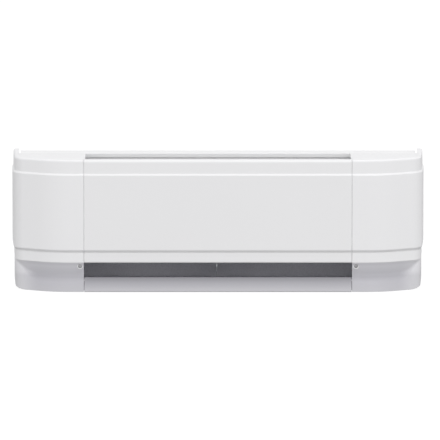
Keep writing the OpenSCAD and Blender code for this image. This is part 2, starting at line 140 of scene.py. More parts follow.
def apply_boolean(ob, cutters, deg=35.0):
    """Cuts closed cutter meshes out of ob for good; their faces are turned outward first."""
    for cutter in cutters:
        bm = bmesh.new()
        bm.from_mesh(cutter.data)
        bmesh.ops.recalc_face_normals(bm, faces=bm.faces)
        bm.to_mesh(cutter.data)
        bm.free()
        m = ob.modifiers.new("cut", "BOOLEAN")
        m.operation = "DIFFERENCE"
        m.solver = "EXACT"
        m.object = cutter
    bpy.context.view_layer.update()
    dg = bpy.context.evaluated_depsgraph_get()
    me = bpy.data.meshes.new_from_object(ob.evaluated_get(dg))
    ob.modifiers.clear()
    old = ob.data
    ob.data = me
    bpy.data.meshes.remove(old)
    for cutter in cutters:
        data = cutter.data
        bpy.data.objects.remove(cutter)
        bpy.data.meshes.remove(data)
    shade(me, deg)
    return ob


def cutter_y(x, z, d0, d1, r, sides=64):
    """A closed cylinder along Y from depth d0 to d1, to cut a round hole with."""
    verts = []
    for d in (d0, d1):
        verts += [(x + r * math.cos(2 * math.pi * k / sides), Y_FRONT + d,
                   z + r * math.sin(2 * math.pi * k / sides)) for k in range(sides)]
    faces = [(k, (k + 1) % sides, sides + (k + 1) % sides, sides + k) for k in range(sides)]
    faces += [tuple(range(sides - 1, -1, -1)), tuple(range(sides, 2 * sides))]
    me = bpy.data.meshes.new("cutter")
    me.from_pydata([Vector(v) * MM for v in verts], [], faces)
    ob = bpy.data.objects.new("cutter", me)
    SCN.collection.objects.link(ob)
    ob.hide_render = True
    return ob


def rounded(pts, radii, n=6):
    """A polyline with each inner corner replaced by an arc of n + 1 points."""
    out = [np.array(pts[0], float)]
    for i in range(1, len(pts) - 1):
        a, b, c = (np.array(p, float) for p in pts[i - 1:i + 2])
        u, v = a - b, c - b
        lu, lv = np.linalg.norm(u), np.linalg.norm(v)
        u, v = u / lu, v / lv
        half = math.acos(max(-1.0, min(1.0, float(u @ v)))) / 2
        r = max(radii[i], 0.02)
        if half > math.radians(89.6):
            # nearly straight: the same number of points, spread a little to each side
            out += [b + (u * (0.5 - k / n) if k < n / 2 else v * (k / n - 0.5)) * 0.2
                    for k in range(n + 1)]
            continue
        cut = min(r / math.tan(half), 0.48 * lu, 0.48 * lv)
        r = cut * math.tan(half)
        mid = b + (u + v) / np.linalg.norm(u + v) * (r / math.sin(half))
        s, e = b + u * cut - mid, b + v * cut - mid
        sweep = math.pi - 2 * half
        for k in range(n + 1):
            f = k / n
            w0 = math.sin((1 - f) * sweep) / math.sin(sweep)
            w1 = math.sin(f * sweep) / math.sin(sweep)
            out.append(mid + s * w0 + e * w1)
    out.append(np.array(pts[-1], float))
    return out


def offset(pts, t):
    """The polyline moved t to the left of its travel, mitred at the corners."""
    p = [np.array(q, float) for q in pts]
    out = []
    for i, q in enumerate(p):
        dirs = []
        if i > 0:
            dirs.append((q - p[i - 1]) / np.linalg.norm(q - p[i - 1]))
        if i < len(p) - 1:
            dirs.append((p[i + 1] - q) / np.linalg.norm(p[i + 1] - q))
        normals = [np.array([-d[1], d[0]]) for d in dirs]
        m = sum(normals)
        m = m / np.linalg.norm(m)
        out.append(q + t * m / float(m @ normals[0]))
    return out


def sheet_loop(path, radii, t, n=6):
    """(outer, inner) matched point lists of a bent sheet. Radii are those of the outer side."""
    outer = rounded(path, radii, n)
    inner_radii = [max(0.25, r - abs(t)) if r > abs(t) else r + abs(t) for r in radii]
    return outer, rounded(offset(path, t), inner_radii, n)


def ladder(rows):
    """Quads between consecutive closed rings of the same length."""
    n = len(rows[0])
    faces = []
    for i in range(len(rows) - 1):
        for j in range(n):
            k = (j + 1) % n
            faces.append((i * n + j, i * n + k, (i + 1) * n + k, (i + 1) * n + j))
    return faces


def edge_caps(outer, inner, steps=3):
    """One closed loop round a sheet section, its two free edges eased."""
    power = 0.6  # below 1, so the edge is squarer than a half round

    def cap(a, b, back):
        a, b, back = np.array(a), np.array(b), np.array(back)
        mid, half = (a + b) / 2, (a - b) / 2
        away = (a - back) / max(1e-9, np.linalg.norm(a - back))
        size = np.linalg.norm(half)
        pts = []
        for k in range(1, 2 * steps):
            ang = math.pi * k / (2 * steps)
            c, s = math.cos(ang), math.sin(ang)
            pts.append(mid + half * math.copysign(abs(c) ** power, c)
                       - away * size * (1 - abs(s) ** power))
        return pts

    end = cap(outer[-1], inner[-1], outer[-2])
    start = cap(inner[0], outer[0], inner[1])
    return list(outer) + end + list(reversed(inner)) + start


def sweep_sheet(name, path, radii, t, spans, mat, round_end=0.35, n=6, deg=35.0):
    """A bent sheet run along X over each span, with eased edges all round."""
    verts, faces = [], []
    for x0, x1 in spans:
        outer, inner = sheet_loop(path, radii, t, n)
        rows = []
        stops = [(x0, 1.0), (x0 + round_end * 0.3, 0.3), (x0 + round_end, 0.0)]
        stops += [(x1 - round_end, 0.0), (x1 - round_end * 0.3, 0.3), (x1, 1.0)]
        for x, k in stops:
            q = k * round_end / abs(t)
            o = [a + (b - a) * q for a, b in zip(outer, inner)]
            i = [b + (a - b) * q for a, b in zip(outer, inner)]
            rows.append([(x, Y_FRONT + p[0], p[1]) for p in edge_caps(o, i)])
        base = len(verts)
        m = len(rows[0])
        verts += [p for row in rows for p in row]
        faces += [tuple(base + q for q in f) for f in ladder(rows)]
        for row_i, flip in ((0, False), (len(rows) - 1, True)):
            b0 = base + row_i * m
            no = len(outer)
            extra = (m - 2 * no) // 2
            for j in range(no - 1):
                quad = (b0 + j, b0 + j + 1,
                        b0 + no + extra + no - 2 - j, b0 + no + extra + no - 1 - j)
                faces.append(quad if flip else quad[::-1])
            end_ring = [b0 + no - 1] + [b0 + no + k for k in range(extra)] + [b0 + no + extra]
            start_ring = ([b0 + no + extra + no - 1] + [b0 + 2 * no + extra + k for k in range(extra)]
                          + [b0])
            faces.append(tuple(end_ring) if flip else tuple(end_ring[::-1]))
            faces.append(tuple(start_ring) if flip else tuple(start_ring[::-1]))
    return make_object(name, verts, faces, mat, deg)


def turned_faces(base, m, sides):
    """Quads of a closed profile of m points turned in sides steps, from vertex base on."""
    faces = []
    for k in range(sides):
        k2 = (k + 1) % sides
        for j in range(m):
            j2 = (j + 1) % m
            faces.append((base + k * m + j, base + k * m + j2,
                          base + k2 * m + j2, base + k2 * m + j))
    return faces


def lathe_y(verts, faces, x, z, profile, sides):
    """Adds a closed profile [(r, depth)] turned about a line along Y at x, z."""
    faces += turned_faces(len(verts), len(profile), sides)
    for k in range(sides):
        a = 2 * math.pi * k / sides
        verts += [(x + r * math.cos(a), Y_FRONT + d, z + r * math.sin(a)) for r, d in profile]


# ---------- materials ----------
TINT_TOP = 300.0  # the height in mm at the top of a tint's ramp


def node_mat(name, color, rough, metal=0.0, grain=600.0, grain_col=0.04, grain_rough=0.1, bump=0.05,
             bump_d=0.00005, blotch=30.0, blotch_col=0.04, stretch=(1, 1, 1), spec=0.5,
             cells=0.0, cell_col=0.0, heights=None, ends=None):
    """Layered noise at two scales drives colour, roughness and bump; cells adds zinc spangle.
    heights is a list of (height in mm, r, g, b) of painted light and shade, multiplied into the colour up
    the piece; the tint eases off past ends[0] mm from the middle, to ends[2] of its strength at ends[1] mm."""
    m = bpy.data.materials.new(name)
    m.use_nodes = True
    nt = m.node_tree
    nt.nodes.clear()
    new, link = nt.nodes.new, nt.links.new
    out = new("ShaderNodeOutputMaterial")
    p = new("ShaderNodeBsdfPrincipled")
    link(p.outputs["BSDF"], out.inputs["Surface"])
    tc = new("ShaderNodeTexCoord")
    mp = new("ShaderNodeMapping")
    mp.inputs["Scale"].default_value = stretch
    link(tc.outputs["Object"], mp.inputs["Vector"])
    fine, big = new("ShaderNodeTexNoise"), new("ShaderNodeTexNoise")
    for t, s, det in ((fine, grain, 3.0), (big, blotch, 4.0)):
        t.inputs["Scale"].default_value = s
        t.inputs["Detail"].default_value = det
        link(mp.outputs["Vector"], t.inputs["Vector"])

    def scaled(src, lo, hi):
        r = new("ShaderNodeMapRange")
        r.inputs["From Min"].default_value, r.inputs["From Max"].default_value = 0.25, 0.75
        r.inputs["To Min"].default_value, r.inputs["To Max"].default_value = lo, hi
        link(src, r.inputs["Value"])
        return r.outputs["Result"]

    def times(a, b):
        q = new("ShaderNodeMath")
        q.operation = "MULTIPLY"
        link(a, q.inputs[0])
        link(b, q.inputs[1])
        return q.outputs[0]

    shade_f = times(scaled(fine.outputs["Fac"], 1 - grain_col, 1 + grain_col),
                    scaled(big.outputs["Fac"], 1 - blotch_col, 1 + blotch_col))
    rough_f = scaled(fine.outputs["Fac"], max(0.02, rough - grain_rough), min(1.0, rough + grain_rough))
    if cells:
        v = new("ShaderNodeTexVoronoi")
        v.inputs["Scale"].default_value = cells
        link(mp.outputs["Vector"], v.inputs["Vector"])
        sep = new("ShaderNodeSeparateColor")
        link(v.outputs["Color"], sep.inputs["Color"])
        shade_f = times(shade_f, scaled(sep.outputs["Red"], 1 - cell_col, 1 + cell_col))
        add = new("ShaderNodeMath")
        add.operation = "ADD"
        link(rough_f, add.inputs[0])
        link(scaled(sep.outputs["Green"], -0.07, 0.07), add.inputs[1])
        rough_f = add.outputs[0]
    hsv = new("ShaderNodeHueSaturation")
    hsv.inputs["Color"].default_value = (*color, 1)
    link(shade_f, hsv.inputs["Value"])
    if heights:
        sep_z = new("ShaderNodeSeparateXYZ")
        link(tc.outputs["Object"], sep_z.inputs["Vector"])
        unit_z = new("ShaderNodeMapRange")
        unit_z.inputs["From Max"].default_value = TINT_TOP * MM
        link(sep_z.outputs["Z"], unit_z.inputs["Value"])
        ramp = new("ShaderNodeValToRGB")
        link(unit_z.outputs["Result"], ramp.inputs["Fac"])
        stops = ramp.color_ramp.elements
        while len(stops) < len(heights):
            stops.new(0.5)
        for stop, (z, r, g, b) in zip(stops, heights):
            stop.position = z / TINT_TOP
            stop.color = (r, g, b, 1)
        tint = new("ShaderNodeMixRGB")
        tint.blend_type = "MULTIPLY"
        tint.inputs["Fac"].default_value = 1.0
        if ends:
            away = new("ShaderNodeMath")
            away.operation = "ABSOLUTE"
            link(sep_z.outputs["X"], away.inputs[0])
            ease = new("ShaderNodeMapRange")
            ease.interpolation_type = "SMOOTHSTEP"
            ease.inputs["From Min"].default_value = ends[0] * MM
            ease.inputs["From Max"].default_value = ends[1] * MM
            ease.inputs["To Min"].default_value, ease.inputs["To Max"].default_value = 1.0, ends[2]
            link(away.outputs[0], ease.inputs["Value"])
            link(ease.outputs["Result"], tint.inputs["Fac"])
        link(hsv.outputs["Color"], tint.inputs["Color1"])
        link(ramp.outputs["Color"], tint.inputs["Color2"])
        link(tint.outputs["Color"], p.inputs["Base Color"])
    else:
        link(hsv.outputs["Color"], p.inputs["Base Color"])
    link(rough_f, p.inputs["Roughness"])
    p.inputs["Metallic"].default_value = metal
    p.inputs["Specular IOR Level"].default_value = spec
    p.inputs["IOR"].default_value = 1.5
    b = new("ShaderNodeBump")
    b.inputs["Strength"].default_value = bump
    b.inputs["Distance"].default_value = bump_d
    link(fine.outputs["Fac"], b.inputs["Height"])
    link(b.outputs["Normal"], p.inputs["Normal"])
    return m


# one finish for each material slot, and a second finish for the bottom pan: chassis_white with painted shade
M = {
    "cover_white": node_mat("powder_white", (0.82, 0.82, 0.825), 0.38, grain=700, grain_col=0.006,
                            grain_rough=0.05, bump=0.12, bump_d=0.00003, blotch=6,
                            blotch_col=0.006, spec=0.4),
    # painted shade: the caps' wall darkens below the lip, most over the scoop and the skirt under 26 mm,
    # with a thin darker line just under the lip; it fades to half strength towards the caps' ends
    "cap_white": node_mat("moulded_white", (0.835, 0.835, 0.842), 0.42, grain=900, grain_col=0.006,
                          grain_rough=0.06, bump=0.12, bump_d=0.00003, blotch=8, blotch_col=0.006,
                          spec=0.4,
                          heights=[(0, 0.57, 0.565, 0.59), (26, 0.58, 0.575, 0.61),
                                   (34, 0.76, 0.755, 0.79), (47, 0.87, 0.865, 0.90),
                                   (53.5, 0.80, 0.795, 0.83), (55.5, 1, 1, 1)],
                          ends=(334, 380, 0.5)),
    # painted light: a lighter band from 232 to 243.8 mm brightens the rail's lip and the deflector's top in
    # the outlet slot; it crosses the back panel at that height too
    "chassis_white": node_mat("chassis_white", (0.95, 0.95, 0.955), 0.42, grain=700, grain_col=0.008,
                              grain_rough=0.06, bump=0.12, bump_d=0.00003, blotch=10,
                              blotch_col=0.01, spec=0.4,
                              heights=[(0, 0.905, 0.905, 0.905), (200, 0.905, 0.905, 0.905),
                                       (232, 1, 1, 1), (243.8, 1, 1, 1),
                                       (245.4, 0.905, 0.905, 0.905)]),
    # painted shade: the pan's finish darkens towards the top of the kick, to 0.30 at 26 mm, where the lip
    # shades it; the flat wings get the darker tone of its foot
    "pan_painted_shade": node_mat("pan_painted_shade", (0.86, 0.86, 0.865), 0.42, grain=700, grain_col=0.008,
                          grain_rough=0.06, bump=0.12, bump_d=0.00003, blotch=10, blotch_col=0.01, spec=0.4,
                          heights=[(0, 0.59, 0.585, 0.61), (14, 0.45, 0.445, 0.475),
                                   (26, 0.30, 0.295, 0.32)]),
    "cup_white": node_mat("cup_white", (0.80, 0.80, 0.81), 0.35, grain=1500, grain_col=0.01, bump=0.05,
                          blotch=60, blotch_col=0.02),
    "galvanised": node_mat("galvanised", (0.56, 0.57, 0.585), 0.42, 1.0, grain=420, grain_col=0.05,
                           grain_rough=0.08, bump=0.1, bump_d=0.00002, blotch=20, blotch_col=0.06,
                           cells=110, cell_col=0.13),
    # painted light and shade: the shield keeps full tone below 17 mm, where the kick shades it, and darkens
    # to 0.88 at 40 mm under the lip
    "dark_shield": node_mat("dark_shield", (0.70, 0.695, 0.755), 0.62, grain=500, grain_col=0.08,
                            grain_rough=0.1, bump=0.15, blotch=14, blotch_col=0.05, spec=0.3,
                            heights=[(0, 1, 1, 1), (17, 1, 1, 1), (40, 0.88, 0.88, 0.88)]),
    "zinc_plate": node_mat("zinc_plate", (0.66, 0.66, 0.64), 0.3, 1.0, grain=900, grain_col=0.05,
                           bump=0.08, bump_d=0.00001, blotch=90, blotch_col=0.08),
    "screw_steel": node_mat("screw_steel", (0.50, 0.50, 0.51), 0.45, 1.0, grain=1400, grain_col=0.08,
                            bump=0.1, bump_d=0.00001, blotch=300, blotch_col=0.1),
    "element_sheath": node_mat("element_sheath", (0.33, 0.3, 0.27), 0.5, 1.0, grain=700, grain_col=0.1,
                               bump=0.12, blotch=60, blotch_col=0.2, stretch=(0.25, 1, 1)),
    "fin_aluminium": node_mat("fin_aluminium", (0.77, 0.78, 0.79), 0.36, 1.0, grain=800, grain_col=0.05,
                              bump=0.1, bump_d=0.00002, blotch=60, blotch_col=0.06, stretch=(1, 1, 0.12)),
    "clamp_aluminium": node_mat("clamp_aluminium", (0.62, 0.62, 0.63), 0.5, 1.0, grain=1200, grain_col=0.1,
                                bump=0.3, bump_d=0.00005, blotch=80, blotch_col=0.08),
    "white_ceramic": node_mat("white_ceramic", (0.78, 0.75, 0.68), 0.6, grain=1600, grain_col=0.04,
                              bump=0.2, blotch=200, blotch_col=0.05),
    "red_silicone": node_mat("red_silicone", (0.36, 0.07, 0.04), 0.55, grain=1300, grain_col=0.08,
                             bump=0.15, blotch=150, blotch_col=0.1),
    "black_rubber": node_mat("black_rubber", (0.025, 0.025, 0.026), 0.65, grain=1500, grain_col=0.15,
                             bump=0.25, blotch=150, blotch_col=0.2),
    "copper_tube": node_mat("copper_tube", (0.7, 0.36, 0.22), 0.32, 1.0, grain=1100, grain_col=0.08,
                            bump=0.06, bump_d=0.00001, blotch=60, blotch_col=0.15),
    "black_phenolic": node_mat("black_phenolic", (0.035, 0.03, 0.027), 0.42, grain=1400, grain_col=0.2,
                               bump=0.12, blotch=120, blotch_col=0.2),
    "terminal_brass": node_mat("terminal_brass", (0.65, 0.47, 0.18), 0.3, 1.0, grain=1400, grain_col=0.06,
                               bump=0.06, bump_d=0.00001, blotch=200, blotch_col=0.12),
    "lead_white": node_mat("lead_white", (0.7, 0.67, 0.6), 0.75, grain=2600, grain_col=0.16, bump=0.6,
                           bump_d=0.0001, blotch=100, blotch_col=0.06, stretch=(1, 1, 1.6)),
    "wire_black": node_mat("wire_black", (0.022, 0.022, 0.023), 0.38, grain=1500, grain_col=0.15,
                           bump=0.08, blotch=120, blotch_col=0.2),
    "wire_red": node_mat("wire_red", (0.4, 0.02, 0.015), 0.38, grain=1500, grain_col=0.06, bump=0.08,
                         blotch=120, blotch_col=0.08),
    "wire_green": node_mat("wire_green", (0.03, 0.22, 0.06), 0.4, grain=1500, grain_col=0.06, bump=0.08,
                           blotch=120, blotch_col=0.08),
    "connector_orange": node_mat("connector_orange", (0.66, 0.19, 0.02), 0.4, grain=1200, grain_col=0.05,
                                 bump=0.1, blotch=100, blotch_col=0.06),
    "screw_green": node_mat("screw_green", (0.05, 0.25, 0.1), 0.3, 0.8, grain=1400, grain_col=0.1,
                            bump=0.1, blotch=200, blotch_col=0.12),
}

# ---------- CAD nodes that stay: their slot's material and eased edges ----------
KEEP_SHARP = {"heating_tube", "terminal_pins", "terminal_insulators", "crimp_sleeves", "shield_rivets",
              "joining_rivets", "shield_standoffs"}
slot_of = {s["node"]: s["material_slot"] for s in frame["record"]["subparts"]}
for node_name, ob in frame["nodes"].items():
    ob.data.materials.clear()
    ob.data.materials.append(M[slot_of[node_name]])
    ob.data.set_sharp_from_angle(angle=math.radians(30))
    bev = ob.modifiers.new("ease", "BEVEL")
    bev.width = 0.12 * MM if node_name in KEEP_SHARP else 0.25 * MM
    bev.segments = 2
    bev.limit_method = "ANGLE"
    bev.angle_limit = math.radians(50)
    bev.harden_normals = False


# ---------- outer profile ----------
def upper_corners(k):
    """Corners above the lip of the wall profile, moved in by k."""
    return ([(LIP_IN + k, 74.0), (k, 78.6), (k, 217.8), (2.0 + k, 220.9), (2.3 + k, TOP_Z - k),
             (11.5, TOP_Z - k)],
            [4.0, 4.0, 1.2, 1.6, 6.0 - k, 0.0])


def cap_corners(k, t, z0):
    """Corners and radii of a cap's wall from its foot at z0, the crease at strength t."""
    cz = LIP_Z - 1 - (LIP_Z - 1 - CREASE_Z) * t
    ci = KICK_IN + (CREASE_IN - KICK_IN) * t
    up, ur = upper_corners(k)
    return ([(KICK_IN + k, z0), (ci + k, cz), (LIP_IN + k, LIP_Z + 1)] + up,
            [0.0, CREASE_R + (1.0 if k == 0 else 0.0), 1.2 + k * 0.3] + ur)


def smooth01(t):
    c = max(0.0, min(1.0, t))
    return c * c * (3 - 2 * c)


def fade(x):
    """Strength of the crease at x: full along the front, gone 5 mm from the end."""
    return math.sin(math.pi / 2 * max(0.0, min(1.0, (HALF_L - x - 5) / 38)))


def ear(d):
    """How far the cap's top lifts at depth d, behind the hinge line."""
    return EAR_RISE * smooth01((d - AXIS_D) / (CAP_BACK - AXIS_D))


def foot(x, d):
    """Height of the cap's lower edge. Behind the hinge line it follows an arc about it, so that it
    clears the floor as the cover swings, and it rises towards the end of the cap."""
    rise = 6.0 * max(0.0, (x - HALF_L) / 28.0 + 1) ** 2.5
    return AXIS_Z - math.sqrt((AXIS_Z - 0.6) ** 2 - max(0.0, d - AXIS_D) ** 2) + rise


# plan curve of a cap: a bow from BOW_X, a straight slant, a corner, then the side back to the wall
BOW_R, BOW_X, BOW_A = 125.0, HALF_L - 110, math.radians(29)
SLANT, CORNER_R, SIDE_A = 32.0, 35.0, math.radians(87.5)
BOW_END = np.array([BOW_X + BOW_R * math.sin(BOW_A), BOW_R * (1 - math.cos(BOW_A))])
SLANT_END = BOW_END + SLANT * np.array([math.cos(BOW_A), math.sin(BOW_A)])
CORNER_C = SLANT_END + CORNER_R * np.array([-math.sin(BOW_A), math.cos(BOW_A)])
CORNER_END = CORNER_C + CORNER_R * np.array([math.sin(SIDE_A), -math.cos(SIDE_A)])


def plan_stations():
    """(x, depth, normal angle, end of the top skin (x, depth)) along the cap's plan curve."""
    st = []
    rim_x = HALF_L - RIM_W
    for x in np.linspace(CAP_X, BOW_X, 5):
        st.append((x, 0.0, 0.0, (x, TOP_EDGE_D)))
    n = 36
    for i in range(1, n + 1):
        a = BOW_A * i / n
        x = BOW_X + BOW_R * math.sin(a)
        st.append((x, BOW_R * (1 - math.cos(a)), a, (x, TOP_EDGE_D)))
    for i in range(1, 9):
        p = BOW_END + SLANT * i / 8 * np.array([math.cos(BOW_A), math.sin(BOW_A)])
        st.append((p[0], p[1], BOW_A, (p[0], TOP_EDGE_D)))
    n = 40
    for i in range(1, n + 1):
        f = i / n
        a = BOW_A + (SIDE_A - BOW_A) * f
        st.append((CORNER_C[0] + CORNER_R * math.sin(a), CORNER_C[1] - CORNER_R * math.cos(a), a,
                   (SLANT_END[0] + (rim_x - SLANT_END[0]) * f, TOP_EDGE_D)))
    n = 20
    for i in range(1, n + 1):
        f = i / n
        st.append((CORNER_END[0] + (HALF_L - CORNER_END[0]) * f,
                   CORNER_END[1] + (CAP_BACK - CORNER_END[1]) * f,
                   SIDE_A, (rim_x, TOP_EDGE_D + (CAP_BACK - TOP_EDGE_D) * f)))
    return st


def cap_row(s, x_shift, inset, side):
    """Closed ring of points of the cap's wall at one station, and how many are on its outer side."""
    x, d, a, q = s
    t, z0, e = fade(x), foot(x, d), ear(d)

    def column(k):
        pts, radii = cap_corners(k, t, z0)
        out = []
        for o, z in rounded(pts, radii, 8):
            out.append(np.array([x - o * math.sin(a) + x_shift, min(CAP_BACK, d + o * math.cos(a)),
                                 z + (e if z > 238 else 0.0)]))
        out.append(np.array([q[0] + x_shift, q[1], TOP_Z - k + ear(q[1])]))
        return out

    outer, inner = column(0.0), column(SKIN)
    f = inset / SKIN
    o = [p + (r - p) * f for p, r in zip(outer, inner)]
    i = [r + (p - r) * f for p, r in zip(outer, inner)]
    ring = o + [0.85 * o[-1] + 0.15 * i[-1]] + [0.15 * o[-1] + 0.85 * i[-1]] + i[::-1]
    lo_o, lo_i = o[0], i[0]
    ring += [0.15 * lo_o + 0.85 * lo_i, 0.85 * lo_o + 0.15 * lo_i]
    lift = np.array([0, 0, 0.35])
    ring[0] = ring[0] + lift
    ring[len(o) + 1 + len(i)] = ring[len(o) + 1 + len(i)] + lift
    return [(side * p[0], Y_FRONT + p[1], p[2]) for p in ring], len(o)


def build_cap(side, name):
    """A hollow end cap; side is -1 on the left and 1 on the right."""
    st = plan_stations()
    rows = []
    # (station, shift along x, how far the skins close in): the inner end is eased
    plan = [(st[0], 0.0, 0.6), (st[0], 0.1, 0.25), (st[0], 0.35, 0.06), (st[0], 0.7, 0.0)]
    plan += [(s, 0.0, 0.0) for s in st[1:]]
    for s, shift, inset in plan:
        ring, n_o = cap_row(s, shift, inset, side)
        rows.append(ring)
    m = len(rows[0])
    verts = [p for r in rows for p in r]
    faces = ladder(rows)
    # close the two ends between the outer and the inner skin
    inner_first = n_o + 2
    for row_i in (0, len(rows) - 1):
        b = row_i * m
        for j in range(n_o - 1):
            faces.append((b + j, b + j + 1,
                          b + inner_first + n_o - 2 - j, b + inner_first + n_o - 1 - j))
        faces.append((b + n_o - 1, b + n_o, b + n_o + 1, b + inner_first))
        faces.append((b, b + m - 1, b + m - 2, b + inner_first + n_o - 1))
    # the cap_white finish paints shade on the wall below the lip
    ob = make_object(name, verts, faces, M["cap_white"], 32)
    apply_boolean(ob, [cutter_y(side * SCREW_X, SCREW_Z, -2, 30, CUP_R)], 32)
    return weighted(ob)


for side, node in ((-1, "left_end_cap"), (1, "right_end_cap")):
    finish_piece(build_cap(side, node + "_moulding"), [node], "cover")
    reach = sorted((side * TONGUE_X, side * (CAP_X + TONGUE_LAP)))
    tongue = sweep_sheet(node + "_tongue",
                         [(15.5, TOP_Z - TONGUE_DROP), (TOP_EDGE_D, TOP_Z - TONGUE_DROP)],
                         [0, 0], -SKIN, [tuple(reach)], M["cap_white"], 0.3)
    finish_piece(weighted(tongue), [node], "cover")

# ---------- front panel ----------
up_pts, up_r = upper_corners(0.0)
panel_path = [(12.0, LIP_Z), (LIP_IN, LIP_Z)] + up_pts[:-1] + [(14.0, TOP_Z), (14.0, 240.0)]
panel_radii = [0.0, 2.6] + up_r[:-1] + [2.4, 0.0]
panel = sweep_sheet("front_panel_pressing", panel_path, panel_radii, -SKIN, [(-PANEL_X, PANEL_X)],
                    M["cover_white"], 0.5, 8, 32)
finish_piece(weighted(panel), ["front_panel"], "cover")

# ---------- chassis sheets ----------
back = sweep_sheet("back_panel_sheet", [(DEPTH, 4.0), (DEPTH, 246.0)],
                   [0, 0], SHEET, [(-CHASSIS_X, CHASSIS_X)], M["chassis_white"], 0.3)
cuts = [cutter_y(x, z, BACK_D - 3, DEPTH + 3, FIXING_R, 40) for x, z in FIXINGS]
cuts += [cutter_y(x, z, BACK_D - 3, DEPTH + 3, KNOCKOUT_R, 64) for x, z in KNOCKOUTS]
finish_piece(weighted(apply_boolean(back, cuts)), ["back_panel"], "chassis")

rail = sweep_sheet("top_rail_folded", [(BACK_D, 230.0), (BACK_D, 246.0), (103.5, 246.0), (103.5, 238.0)],
                   [0, 1.6, 1.6, 0], SHEET, [(-CHASSIS_X, CHASSIS_X)], M["chassis_white"], 0.3)
finish_piece(weighted(rail), ["top_rail"], "chassis")

kick = [(BACK_D, 0.0), (KICK_IN, 0.0), (19.5, 26.0), (24.5, 26.0), (24.5, 18.0)]
# the pan's finish carries painted shade, darker towards the top of the kick
pan = sweep_sheet("bottom_pan_sheet", kick, [0, 1.5, 4.2, 1.5, 0], -SHEET,
                  [(-PANEL_X + 0.3, PANEL_X - 0.3)], M["pan_painted_shade"], 0.3)

# the flat wings of the pan under the caps; each row is (height, how far the edges ease in)
WING = [(PANEL_X - 0.2, 27), (271, 28), (335, 44), (356, 62), (356, BACK_D), (PANEL_X - 0.2, BACK_D)]
EASE = 0.25
plate_v, plate_f = [], []
for side in (-1, 1):
    base, n_wing = len(plate_v), len(WING)
    rows = [[(side * (x if x < PANEL_X else x - k), Y_FRONT + (d + k if d < 100 else d), z) for x, d in WING]
            for z, k in ((0.0, EASE), (EASE, 0.0), (SHEET - EASE, 0.0), (SHEET, EASE))]
    plate_v += [point for row in rows for point in row]
    plate_f += [tuple(base + q for q in face) for face in ladder(rows)]
    plate_f += [tuple(base + first + j for j in range(n_wing)) for first in (0, 3 * n_wing)]
# the wings take the pan's finish with its painted shade
wings = make_object("bottom_pan_wings", plate_v, plate_f, M["pan_painted_shade"])
finish_piece(weighted(pan), ["bottom_pan"], "chassis")
finish_piece(wings, ["bottom_pan"], "chassis")

# the deflector's top takes chassis_white's band of painted light
deflector = sweep_sheet("outlet_deflector_sheet",
                        [(FLANGE_D, 206), (FLANGE_D, 213), (110, 227), (105.4, 232.5), (105.4, 238.6)],
                        [0, 2, 2, 2, 0], -SHIELD_T, [(-248.7, 248.7)], M["chassis_white"], 0.25)
finish_piece(weighted(deflector), ["outlet_deflector"], "chassis")

rear = sweep_sheet("rear_heat_shield_sheet",
                   [(FLANGE_D, 2), (FLANGE_D, 5), (126, 12), (126, 188), (FLANGE_D, 195), (FLANGE_D, 204)],
                   [0, 2, 2, 2, 2, 0], -SHIELD_T, [(-248.6, 248.6)], M["dark_shield"], 0.25)
cuts = [cutter_y(x, z, 120, 132, DRIVER_R) for x, z in FIXINGS]
finish_piece(weighted(apply_boolean(rear, cuts)), ["rear_heat_shield"], "chassis")

front_shield = sweep_sheet("front_heat_shield_sheet", [(18, 60), (14, 64), (14, 226), (18, 232)],
                           [0, 2, 2, 0], -SHIELD_T, [(-234, 234)], M["galvanised"], 0.25)
finish_piece(weighted(front_shield), ["front_heat_shield"], "cover")

# ---------- screw cups and cover screws ----------
CUP = [(2.05, 15.4), (2.05, 10.25), (2.2, 10.2), (3.4, 10.2), (3.5, 10.1), (3.5, 8.0), (3.75, 7.68),
       (4.1, 7.6), (4.9, 7.6), (5.3, 7.75), (5.5, 8.15), (5.5, 15.1), (5.25, 15.4)]
HEAD = [(0.001, 8.0), (1.2, 8.04), (2.2, 8.2), (2.9, 8.55), (3.17, 8.95), (3.2, 9.3), (3.2, 10.0),
        (3.05, 10.2), (2.0, 10.2)]
PITCH = 1.3
THREAD = [q for i in range(9)
          for q in ((1.98, 11.6 + i * PITCH), (1.62, 12.1 + i * PITCH), (1.98, 12.6 + i * PITCH))]
TIP = [(1.6, 23.6), (1.2, 24.0), (0.001, 24.0)]
SLOT_LONG, SLOT_WIDE = 1.95, 0.36  # half sizes of the cross in the head

v, f = [], []
for side in (-1, 1):
    lathe_y(v, f, side * SCREW_X, SCREW_Z, CUP, 64)
finish_piece(make_object("screw_cups_turned", v, f, M["cup_white"]), ["screw_cups"], "cover")

for side, node, body in ((-1, "left_cover_screw", "left_screw"), (1, "right_cover_screw", "right_screw")):
    v, f = [], []
    lathe_y(v, f, side * SCREW_X, SCREW_Z, HEAD + THREAD + TIP, 48)
    screw = make_object(node + "_turned", v, f, M["screw_steel"], 40)
    cutters = []
    for w, h in ((SLOT_LONG, SLOT_WIDE), (SLOT_WIDE, SLOT_LONG)):
        mesh = bpy.data.meshes.new("cross")
        pts = [(sx * w * k, y, sz * h * k) for y, k in ((Y_FRONT + 7.0, 1.15), (Y_FRONT + 9.4, 0.75))
               for sx, sz in ((-1, -1), (1, -1), (1, 1), (-1, 1))]
        mesh.from_pydata([Vector((side * SCREW_X + p[0], p[1], SCREW_Z + p[2])) * MM for p in pts], [],
                         [(3, 2, 1, 0), (4, 5, 6, 7), (0, 1, 5, 4), (1, 2, 6, 5), (2, 3, 7, 6),
                          (3, 0, 4, 7)])
        cutters.append(bpy.data.objects.new("cross", mesh))
        SCN.collection.objects.link(cutters[-1])
    apply_boolean(screw, cutters, 40)
    finish_piece(screw, [node], body)


# ---------- fins ----------
FIN_PITCH, HALF_FIN, COLLAR = 8.0, 0.15, 1.2  # spacing, half thickness and collar length
FIN_RINGS, FIN_SIDES = 5, 48


